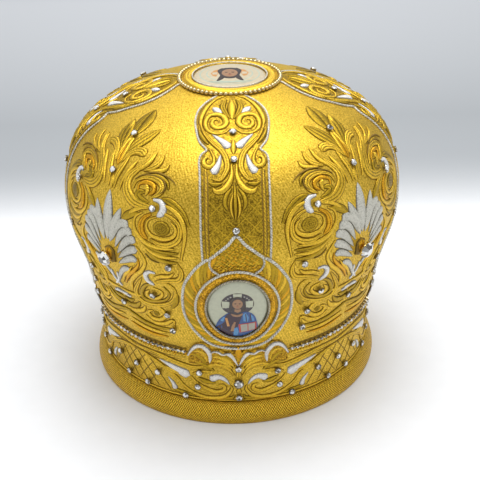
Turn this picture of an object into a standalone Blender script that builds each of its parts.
"""Bishop mitre: a tall stiffened cloth crown with straps, medallions and stones.

Lengths are metres and angles are degrees unless a name says otherwise. Azimuth 0
is the front, at -Y, and azimuth grows towards +X. A place on the outer surface is
an azimuth and an arc: the arc is measured along the surface, up from the junction
of the lower band and the crown, so places on the band have a negative arc.
"""
import itertools
import math

import bmesh
import bpy
import numpy as np
from mathutils import Matrix, Vector

# Shell
WALL = 0.0030
SEAT_GAP = 0.0003
SHELL_SEGMENTS = 48
CROWN_RINGS = 18

# Lower band: outer radius at the floor and at the junction
BAND_FOOT_RADIUS = 0.1020
BAND_TOP_RADIUS = 0.1035
BAND_HEIGHT = 0.0559
BAND_ROWS = 3

# Roll sewn round the foot of the band: how far it reaches past the foot
RIM_REACH = 0.0075
RIM_HEIGHT = 0.0150

# Crown: it flares from the band to its widest ring, then domes over
CROWN_RADIUS = 0.1212
FLARE_HEIGHT = 0.0812
DOME_HEIGHT = 0.0861

# Height share of the flare, share of the flare's bulge past the band
FLARE_SECTIONS = (
    (0.00, 0.00),
    (0.14, 0.20),
    (0.38, 0.34),
    (0.58, 0.58),
    (0.79, 0.86),
    (1.00, 1.00),
)

# Height share of the dome, share of the crown's radius
DOME_SECTIONS = (
    (0.200, 0.994),
    (0.400, 0.960),
    (0.575, 0.894),
    (0.720, 0.790),
    (0.815, 0.663),
    (0.880, 0.538),
    (0.935, 0.423),
    (0.974, 0.313),
    (0.993, 0.205),
    (1.000, 0.000),
)

# Share of the roll's width, share of its height, down the outside from the top
RIM_SECTION = (
    (0.02, 1.00),
    (0.42, 0.90),
    (0.78, 0.66),
    (1.00, 0.34),
    (1.00, 0.08),
    (0.90, 0.00),
    (0.00, 0.00),
)

# Medallion on each of the four sides: centre above the junction
MEDALLION_ARC = 0.0464
PLATE_HALF_WIDTH = 0.0206
PLATE_HALF_HEIGHT = 0.0265
PLATE_THICKNESS = 0.0016
FRAME_HALF_WIDTH = 0.0372
FRAME_RISE = 0.0595
FRAME_DROP = 0.0345
FRAME_THICKNESS = 0.0022
FRAME_INNER_GAP = 0.0004

# Rise share above the centre (drop share when below), half width share
FRAME_OUTLINE = (
    (1.00, 0.00),
    (0.87, 0.23),
    (0.74, 0.46),
    (0.60, 0.68),
    (0.44, 0.89),
    (0.25, 0.98),
    (0.04, 1.00),
    (-0.30, 0.96),
    (-0.62, 0.83),
    (-0.87, 0.55),
    (-0.97, 0.27),
    (-1.00, 0.00),
)

# Strap from each medallion's apex to the top medallion
STRAP_HALF_WIDTH = 0.0215
STRAP_THICKNESS = 0.0014
STRAP_COLUMNS = 4
STRAP_FOOT_ROWS = 3
STRAP_FOOT_GAP = 0.0006

# Share of the strap's length above the apex, share of its half width
STRAP_SECTIONS = (
    (0.12, 0.98),
    (0.22, 0.98),
    (0.32, 1.02),
    (0.42, 1.08),
    (0.485, 1.05),
    (0.525, 0.88),
    (0.60, 1.03),
    (0.70, 1.13),
    (0.80, 1.11),
    (0.89, 0.94),
    (0.96, 0.64),
    (1.00, 0.54),
)

# Crest of the band under each medallion
CREST_HALF_SPAN = 19.5
CREST_FOOT_DROP = 0.0081
CREST_HEIGHT = 0.0119
CREST_THICKNESS = 0.0012

# Share of the half span from the middle, share of the crest's height
CREST_OUTLINE = (
    (0.00, -0.39),
    (0.15, 0.24),
    (0.26, 0.75),
    (0.38, 0.50),
    (0.60, 0.50),
    (0.74, 1.00),
    (0.88, 0.75),
    (1.00, -0.09),
)

# Round medallion on the top
TOP_PLATE_RADIUS = 0.0260
TOP_PLATE_THICKNESS = 0.0016
TOP_BEZEL_WIDTH = 0.0072
TOP_BEZEL_THICKNESS = 0.0022
TOP_CLEARANCE = 0.0004
TOP_SEGMENTS = 32
TOP_BEAD_DIAMETER = 0.0030

# Strings of beads along the junction, between the crests
STRING_DIAMETER = 0.0028
STRING_ARC = 0.0010
STRING_END_GAP = 1.0
STRING_POINTS = 12

# Cut stones in their cups
STONE_SIDES = 8
STONE_DIAMETER = 0.0046
STONE_HEIGHT = 0.0020
STRAP_STONE_SHARES = (0.032, 0.445, 0.655)
PANEL_STONE_ARCS = (0.1359, 0.1639)
BAND_STONE_DROP = 0.0241
BAND_STONE_DIAMETER = 0.0072
BAND_STONE_HEIGHT = 0.0034

# Share of the stone's radius, share of its height, down from the table
STONE_SECTION = (
    (0.00, 1.00),
    (0.56, 1.00),
    (1.00, 0.52),
    (1.00, 0.00),
    (0.00, 0.00),
)

# Clear crystal that stands on its cup over each panel's palmette
CRYSTAL_ARC = 0.0755
CRYSTAL_DIAMETER = 0.0112
CRYSTAL_STAND = 0.0074
CRYSTAL_SIDES = 10

# Share of the crystal's radius, share of its stand, down from the table
CRYSTAL_SECTION = (
    (0.00, 1.00),
    (0.56, 1.00),
    (1.00, 0.70),
    (0.92, 0.50),
    (0.52, 0.30),
    (0.60, 0.00),
    (0.00, 0.00),
)

# Gold cabochon in the notch of each side crest
CABOCHON_DIAMETER = 0.0074
CABOCHON_HEIGHT = 0.0042
CABOCHON_ARC = 0.0032
CABOCHON_SIDES = 12

# Share of the cabochon's radius, share of its height, down from the top
CABOCHON_SECTION = (
    (0.00, 1.00),
    (0.44, 0.90),
    (0.80, 0.62),
    (1.00, 0.24),
    (0.94, 0.00),
    (0.00, 0.00),
)

SIDES = (("front", 0.0), ("right", 90.0), ("back", 180.0), ("left", -90.0))
PANELS = (
    ("front_right", 45.0),
    ("back_right", 135.0),
    ("back_left", -135.0),
    ("front_left", -45.0),
)

# Name, base colour, roughness, metallic
FINISHES = {
    "gold_brocade": ((0.72, 0.50, 0.14), 0.55, 0.25),
    "band_embroidery": ((0.66, 0.42, 0.09), 0.50, 0.35),
    "rim_braid": ((0.58, 0.33, 0.06), 0.55, 0.35),
    "strap_cloth": ((0.52, 0.35, 0.10), 0.55, 0.30),
    "frame_embroidery": ((0.68, 0.46, 0.12), 0.50, 0.35),
    "cream_plate": ((0.86, 0.83, 0.74), 0.30, 0.00),
    "silver_beads": ((0.80, 0.79, 0.74), 0.25, 0.90),
    "cut_stone": ((0.90, 0.92, 0.93), 0.06, 0.10),
    "gold_cabochon": ((0.80, 0.57, 0.16), 0.18, 0.90),
}

# Points read along the smooth outline for each row of its table
CURVE_STEPS = 12
MERGE = 0.00002


def clear_objects():
    """Remove whatever objects the file holds."""
    for obj in list(bpy.data.objects):
        bpy.data.objects.remove(obj)


def new_collection(name):
    """Return a new collection linked to the scene."""
    collection = bpy.data.collections.new(name)
    bpy.context.scene.collection.children.link(collection)
    return collection


def finish(name):
    """Return the named finish as a material, made on first use."""
    material = bpy.data.materials.get(name)
    if material:
        return material
    colour, roughness, metallic = FINISHES[name]
    material = bpy.data.materials.new(name)
    material.use_nodes = True
    shader = material.node_tree.nodes["Principled BSDF"]
    shader.inputs["Base Color"].default_value = (*colour, 1.0)
    shader.inputs["Roughness"].default_value = roughness
    shader.inputs["Metallic"].default_value = metallic
    return material


def add_object(collection, name, data, material_name):
    """Link a new object that shows its data in one finish."""
    if not data.materials:
        data.materials.append(finish(material_name))
    obj = bpy.data.objects.new(name, data)
    collection.objects.link(obj)
    return obj


def smooth_line(rows, steps):
    """Return points along a Catmull-Rom curve through the rows."""
    points = np.array(rows, dtype=float)
    ends = np.vstack([2 * points[0] - points[1], points, 2 * points[-1] - points[-2]])
    line = []
    for before, start, end, after in zip(ends, ends[1:], ends[2:], ends[3:]):
        for t in np.arange(steps) / steps:
            line.append(0.5 * (
                2 * start
                + (end - before) * t
                + (2 * before - 5 * start + 4 * end - after) * t ** 2
                + (3 * start - before - 3 * end + after) * t ** 3
            ))
    line.append(points[-1])
    return np.array(line)


class Surface:
    """The mitre's outer surface: a profile of radius and height, turned about Z."""

    def __init__(self):
        bulge = CROWN_RADIUS - BAND_TOP_RADIUS
        widest = BAND_HEIGHT + FLARE_HEIGHT
        flare = [
            (BAND_TOP_RADIUS + bulge * out, BAND_HEIGHT + FLARE_HEIGHT * up)
            for up, out in FLARE_SECTIONS
        ]
        dome = [(CROWN_RADIUS * out, widest + DOME_HEIGHT * up) for up, out in DOME_SECTIONS]
        crown = smooth_line(flare + dome, CURVE_STEPS)
        band = np.array([(BAND_FOOT_RADIUS, 0.0)])
        self.points = np.vstack([band, crown])
        lengths = np.hypot(*np.diff(self.points, axis=0).T)
        self.arcs = np.concatenate([[0.0], np.cumsum(lengths)]) - lengths[0]

    @property
    def top_arc(self):
        """Arc of the middle of the top."""
        return self.arcs[-1]

    def radius(self, arc):
        """Return the radius of the surface at an arc."""
        return float(np.interp(arc, self.arcs, self.points[:, 0]))

    def height(self, arc):
        """Return the height of the surface at an arc."""
        return float(np.interp(arc, self.arcs, self.points[:, 1]))

    def arc_at_radius(self, radius):
        """Return the arc on the dome where the surface has this radius."""
        start = int(np.argmax(self.points[:, 0]))
        radii = self.points[start:, 0][::-1]
        return float(np.interp(radius, radii, self.arcs[start:][::-1]))

    def slope(self, arc):
        """Return the outward direction at an arc, as radius and height."""
        step = (self.top_arc - self.arcs[1]) / 400
        low = max(arc - step, self.arcs[0])
        high = min(arc + step, self.top_arc)
        along = np.array([
            self.radius(high) - self.radius(low),
            self.height(high) - self.height(low),
        ])
        along = along / np.hypot(*along)
        return along[1], -along[0]

    def section(self, arc, lift=0.0):
        """Return radius and height at an arc, lifted off the surface."""
        out, up = self.slope(arc)
        return self.radius(arc) + lift * out, self.height(arc) + lift * up

    def normal(self, azimuth, arc):
        """Return the outward direction at a place."""
        out, up = self.slope(arc)
        turn = math.radians(azimuth)
        return Vector((out * math.sin(turn), -out * math.cos(turn), up))

    def point(self, azimuth, arc, lift=0.0):
        """Return the point at a place, lifted off the surface."""
        turn = math.radians(azimuth)
        radius = self.radius(arc)
        base = Vector((radius * math.sin(turn), -radius * math.cos(turn), self.height(arc)))
        return base + lift * self.normal(azimuth, arc)

    def azimuth_of(self, across, arc):
        """Return the azimuth of a place that lies across metres from azimuth 0."""
        return math.degrees(across / self.radius(arc))


def profile_mesh(name, points, closed):
    """Return a mesh of the edges along points of radius and height."""
    bm = bmesh.new()
    verts = [bm.verts.new((radius, 0.0, height)) for radius, height in points]
    for start, end in zip(verts, verts[1:]):
        bm.edges.new((start, end))
    if closed:
        bm.edges.new((verts[-1], verts[0]))
    mesh = bpy.data.meshes.new(name)
    bm.to_mesh(mesh)
    bm.free()
    return mesh


def turn_profile(obj, steps):
    """Turn an object's profile about Z."""
    screw = obj.modifiers.new("turn", "SCREW")
    screw.steps = steps
    screw.render_steps = steps
    screw.use_merge_vertices = True
    screw.merge_threshold = MERGE


def thicken(obj, thickness, offset):
    """Give an open surface its wall, outwards for +1 and inwards for -1."""
    wall = obj.modifiers.new("wall", "SOLIDIFY")
    wall.thickness = thickness
    wall.offset = offset
    wall.use_even_offset = True


def build_crown(collection, surface):
    """The domed shell above the junction, open below."""
    arcs = np.linspace(surface.top_arc, SEAT_GAP, CROWN_RINGS + 1)
    points = [surface.section(arc) for arc in arcs[1:]]
    points.insert(0, (0.0, surface.height(surface.top_arc)))
    obj = add_object(collection, "crown", profile_mesh("crown", points, False), "gold_brocade")
    turn_profile(obj, SHELL_SEGMENTS)
    thicken(obj, WALL, -1.0)


def build_lower_band(collection, surface):
    """The upright ring that the crown stands on."""
    foot = SEAT_GAP - BAND_HEIGHT
    arcs = np.linspace(-SEAT_GAP, foot, BAND_ROWS + 1)
    mesh = profile_mesh("lower_band", [surface.section(arc) for arc in arcs], False)
    obj = add_object(collection, "lower_band", mesh, "band_embroidery")
    turn_profile(obj, SHELL_SEGMENTS)
    thicken(obj, WALL, -1.0)


def build_rim_roll(collection, surface):
    """The braided roll round the band's foot, flat where it rests."""
    inner = surface.radius(RIM_HEIGHT - BAND_HEIGHT) + SEAT_GAP
    width = BAND_FOOT_RADIUS + RIM_REACH - inner
    points = [(inner + width * out, RIM_HEIGHT * up) for out, up in RIM_SECTION]
    obj = add_object(collection, "rim_roll", profile_mesh("rim_roll", points, True), "rim_braid")
    turn_profile(obj, SHELL_SEGMENTS)


def chord_depth(bm, surface, places):
    """Return how far a patch's flat faces dip below the true surface."""
    deepest = 0.0
    for face in bm.faces:
        for start, end in itertools.combinations(face.verts, 2):
            middle = (start.co + end.co) / 2
            azimuth, arc = (places[start.index] + places[end.index]) / 2
            gap = (surface.point(azimuth, arc) - middle).dot(surface.normal(azimuth, arc))
            deepest = max(deepest, gap)
    return deepest


def patch_mesh(name, surface, columns, rows, place):
    """Return a grid laid on the surface just clear of it, and its lift.

    place takes the column and the row of a grid point and returns an azimuth and
    an arc. Points that fall together are welded.
    """
    bm = bmesh.new()
    bmesh.ops.create_grid(bm, x_segments=columns, y_segments=rows, size=1.0)
    bm.verts.ensure_lookup_table()
    places = []
    for vert in bm.verts:
        column = round((vert.co.x + 1) / 2 * columns)
        row = round((vert.co.y + 1) / 2 * rows)
        places.append(np.array(place(column, row)))
    for vert, spot in zip(bm.verts, places):
        vert.co = surface.point(*spot)
    lift = SEAT_GAP + chord_depth(bm, surface, places)
    for vert, spot in zip(bm.verts, places):
        vert.co = surface.point(*spot, lift)
    bmesh.ops.remove_doubles(bm, verts=bm.verts, dist=MERGE)
    mesh = bpy.data.meshes.new(name)
    bm.to_mesh(mesh)
    bm.free()
    mesh.shade_smooth()
    return mesh, lift


def place_on_sides(collection, name, mesh, thickness, material_name):
    """Put one copy of a front patch on each side, thickened outwards."""
    for side, azimuth in SIDES:
        obj = add_object(collection, f"{name}_{side}", mesh, material_name)
        obj.rotation_euler.z = math.radians(azimuth)
        thicken(obj, thickness, 1.0)


def frame_outline():
    """Return the frame's outline as across and along, clockwise from the apex."""
    right = [
        (FRAME_HALF_WIDTH * out, (FRAME_RISE if up > 0 else FRAME_DROP) * up)
        for up, out in FRAME_OUTLINE
    ]
    left = [(-across, along) for across, along in right[-2:0:-1]]
    return right + left


def frame_edge_height(across):
    """Return how high the frame's upper edge is above its centre."""
    upper = [(out, up) for up, out in FRAME_OUTLINE if up > 0]
    widths, heights = zip(*upper)
    return FRAME_RISE * float(np.interp(abs(across) / FRAME_HALF_WIDTH, widths, heights))


def oval_angle(across, along):
    """Return the angle round the picture plate at which a frame point lies."""
    return math.atan2(along / PLATE_HALF_HEIGHT, across / PLATE_HALF_WIDTH)


def build_medallion_frames(collection, surface):
    """The pointed oval frame round each picture plate."""
    outline = frame_outline()
    inner_width = PLATE_HALF_WIDTH + FRAME_INNER_GAP
    inner_height = PLATE_HALF_HEIGHT + FRAME_INNER_GAP
    rows = 2

    def place(column, row):
        across, along = outline[-column % len(outline)]
        angle = oval_angle(across, along)
        share = row / rows
        across += (inner_width * math.cos(angle) - across) * share
        along += (inner_height * math.sin(angle) - along) * share
        arc = MEDALLION_ARC + along
        return surface.azimuth_of(across, arc), arc

    mesh, _ = patch_mesh("medallion_frame", surface, len(outline), rows, place)
    place_on_sides(collection, "medallion_frame", mesh, FRAME_THICKNESS, "frame_embroidery")


def build_picture_plates(collection, surface):
    """The oval plate inside each frame, with a corner at each of the frame's."""
    outline = frame_outline()
    rows = 2

    def place(column, row):
        angle = oval_angle(*outline[-column % len(outline)])
        share = 1 - row / rows
        arc = MEDALLION_ARC + PLATE_HALF_HEIGHT * share * math.sin(angle)
        return surface.azimuth_of(PLATE_HALF_WIDTH * share * math.cos(angle), arc), arc

    mesh, _ = patch_mesh("picture_plate", surface, len(outline), rows, place)
    place_on_sides(collection, "picture_plate", mesh, PLATE_THICKNESS, "cream_plate")


def strap_ends(surface):
    """Return the arcs of the medallion's apex and of the strap's upper end."""
    apex = MEDALLION_ARC + FRAME_RISE + STRAP_FOOT_GAP
    reach = top_bead_radius() + TOP_BEAD_DIAMETER / 2 + 2 * TOP_CLEARANCE
    return apex, surface.arc_at_radius(reach)


def build_straps(collection, surface):
    """The shaped strap from each medallion to the top, and its outer lift."""
    apex, end = strap_ends(surface)
    rows = STRAP_FOOT_ROWS + len(STRAP_SECTIONS) - 1
    first_share, first_width = STRAP_SECTIONS[0]
    first_arc = apex + (end - apex) * first_share

    def place(column, row):
        side = 2 * column / STRAP_COLUMNS - 1
        if row >= STRAP_FOOT_ROWS:
            share, width = STRAP_SECTIONS[row - STRAP_FOOT_ROWS]
            arc = apex + (end - apex) * share
        else:
            width = first_width
            edge = frame_edge_height(side * width * STRAP_HALF_WIDTH)
            foot = MEDALLION_ARC + edge + STRAP_FOOT_GAP
            arc = foot + (first_arc - foot) * row / STRAP_FOOT_ROWS
        return surface.azimuth_of(side * width * STRAP_HALF_WIDTH, arc), arc

    mesh, lift = patch_mesh("strap", surface, STRAP_COLUMNS, rows, place)
    place_on_sides(collection, "strap", mesh, STRAP_THICKNESS, "strap_cloth")
    return lift + STRAP_THICKNESS


def build_crests(collection, surface):
    """The scalloped crest of the band that laps up over the crown."""
    right = [
        (CREST_HALF_SPAN * out, CREST_HEIGHT * up)
        for out, up in CREST_OUTLINE
    ]
    edge = [(-azimuth, top) for azimuth, top in right[:0:-1]] + right
    rows = 2

    def place(column, row):
        azimuth, top = edge[column]
        return azimuth, -CREST_FOOT_DROP + (top + CREST_FOOT_DROP) * row / rows

    mesh, _ = patch_mesh("band_crest", surface, len(edge) - 1, rows, place)
    place_on_sides(collection, "band_crest", mesh, CREST_THICKNESS, "band_embroidery")


def top_bead_radius():
    """Return the radius of the ring of beads round the top medallion."""
    bezel_outer = TOP_PLATE_RADIUS + TOP_CLEARANCE + TOP_BEZEL_WIDTH
    return bezel_outer + TOP_CLEARANCE + TOP_BEAD_DIAMETER / 2


def build_top_medallion(collection, surface):
    """The round plate on the top and the bezel round it."""
    plate_arc = surface.arc_at_radius(TOP_PLATE_RADIUS)
    plate_points = [surface.section(arc, SEAT_GAP) for arc in (surface.top_arc, plate_arc)]
    plate_points[0] = (0.0, surface.height(surface.top_arc) + SEAT_GAP)
    plate = add_object(
        collection, "top_plate", profile_mesh("top_plate", plate_points, False), "cream_plate")
    turn_profile(plate, TOP_SEGMENTS)
    thicken(plate, TOP_PLATE_THICKNESS, 1.0)

    inner = TOP_PLATE_RADIUS + TOP_CLEARANCE
    radii = (inner, inner + TOP_BEZEL_WIDTH)
    bezel_points = [
        surface.section(surface.arc_at_radius(radius), SEAT_GAP) for radius in radii
    ]
    bezel = add_object(
        collection, "top_bezel", profile_mesh("top_bezel", bezel_points, False),
        "frame_embroidery")
    turn_profile(bezel, TOP_SEGMENTS)
    thicken(bezel, TOP_BEZEL_THICKNESS, 1.0)


def bead_tube(collection, name, points, diameter, closed):
    """A plain tube that holds the place of a string of beads."""
    curve = bpy.data.curves.new(name, "CURVE")
    curve.dimensions = "3D"
    curve.bevel_depth = diameter / 2
    curve.bevel_resolution = 2
    curve.use_fill_caps = True
    spline = curve.splines.new("POLY")
    spline.points.add(len(points) - 1)
    for spline_point, point in zip(spline.points, points):
        spline_point.co = (*point, 1.0)
    spline.use_cyclic_u = closed
    return add_object(collection, name, curve, "silver_beads")


def build_bead_strings(collection, surface):
    """The ring of beads round the top and the four strings along the junction."""
    ring_arc = surface.arc_at_radius(top_bead_radius())
    ring_lift = SEAT_GAP + TOP_BEAD_DIAMETER / 2
    turns = 360 * np.arange(TOP_SEGMENTS) / TOP_SEGMENTS
    ring = [surface.point(turn, ring_arc, ring_lift) for turn in turns]
    bead_tube(collection, "top_bead_ring", ring, TOP_BEAD_DIAMETER, True)

    half_span = 45.0 - CREST_HALF_SPAN - STRING_END_GAP
    offsets = np.linspace(-half_span, half_span, STRING_POINTS)
    step = math.radians(offsets[1] - offsets[0])
    sag = surface.radius(STRING_ARC) * (1 - math.cos(step / 2))
    lift = SEAT_GAP + STRING_DIAMETER / 2 + sag
    for panel, azimuth in PANELS:
        points = [surface.point(azimuth + offset, STRING_ARC, lift) for offset in offsets]
        bead_tube(collection, f"bead_string_{panel}", points, STRING_DIAMETER, False)


def turned_stone(name, diameter, height, section):
    """Return a profile mesh of a stone and its cup, standing on its base."""
    points = [(diameter / 2 * out, height * up) for out, up in section]
    return profile_mesh(name, points, False)


def seat_stone(collection, surface, name, mesh, sides, azimuth, arc, lift, material_name):
    """Stand a turned stone on the surface, its axis straight out."""
    obj = add_object(collection, name, mesh, material_name)
    turn_profile(obj, sides)
    obj.modifiers["turn"].use_smooth_shade = False
    upright = surface.normal(azimuth, arc).to_track_quat("Z", "Y").to_matrix().to_4x4()
    obj.matrix_world = Matrix.Translation(surface.point(azimuth, arc, lift)) @ upright


def build_small_stones(collection, surface, strap_lift):
    """The stones down each strap and on the axis of each panel."""
    mesh = turned_stone("stone", STONE_DIAMETER, STONE_HEIGHT, STONE_SECTION)
    apex, end = strap_ends(surface)
    for side, azimuth in SIDES:
        for number, share in enumerate(STRAP_STONE_SHARES, 1):
            arc = apex + (end - apex) * share
            seat_stone(
                collection, surface, f"strap_stone_{side}_{number}", mesh, STONE_SIDES,
                azimuth, arc, strap_lift + SEAT_GAP, "cut_stone")
    for panel, azimuth in PANELS:
        for number, arc in enumerate(PANEL_STONE_ARCS, 1):
            seat_stone(
                collection, surface, f"panel_stone_{panel}_{number}", mesh, STONE_SIDES,
                azimuth, arc, SEAT_GAP, "cut_stone")


def build_large_stones(collection, surface):
    """The band's centre stones, the standing crystals and the side cabochons."""
    centre = turned_stone("band_stone", BAND_STONE_DIAMETER, BAND_STONE_HEIGHT, STONE_SECTION)
    for side, azimuth in SIDES:
        seat_stone(
            collection, surface, f"band_stone_{side}", centre, STONE_SIDES,
            azimuth, -BAND_STONE_DROP, SEAT_GAP, "cut_stone")
    crystal = turned_stone(
        "palmette_crystal", CRYSTAL_DIAMETER, CRYSTAL_STAND, CRYSTAL_SECTION)
    for panel, azimuth in PANELS:
        seat_stone(
            collection, surface, f"palmette_crystal_{panel}", crystal, CRYSTAL_SIDES,
            azimuth, CRYSTAL_ARC, SEAT_GAP, "cut_stone")
    dome = turned_stone(
        "side_cabochon", CABOCHON_DIAMETER, CABOCHON_HEIGHT, CABOCHON_SECTION)
    for side, azimuth in (("right", 90.0), ("left", -90.0)):
        seat_stone(
            collection, surface, f"side_cabochon_{side}", dome, CABOCHON_SIDES,
            azimuth, CABOCHON_ARC, SEAT_GAP, "gold_cabochon")


def main():
    """Build the mitre's pieces in order, from the shell outwards."""
    clear_objects()
    collection = new_collection("bishop_mitre")
    surface = Surface()
    build_crown(collection, surface)
    build_lower_band(collection, surface)
    build_rim_roll(collection, surface)
    build_medallion_frames(collection, surface)
    build_picture_plates(collection, surface)
    strap_lift = build_straps(collection, surface)
    build_crests(collection, surface)
    build_top_medallion(collection, surface)
    build_bead_strings(collection, surface)
    build_small_stones(collection, surface, strap_lift)
    build_large_stones(collection, surface)


main()
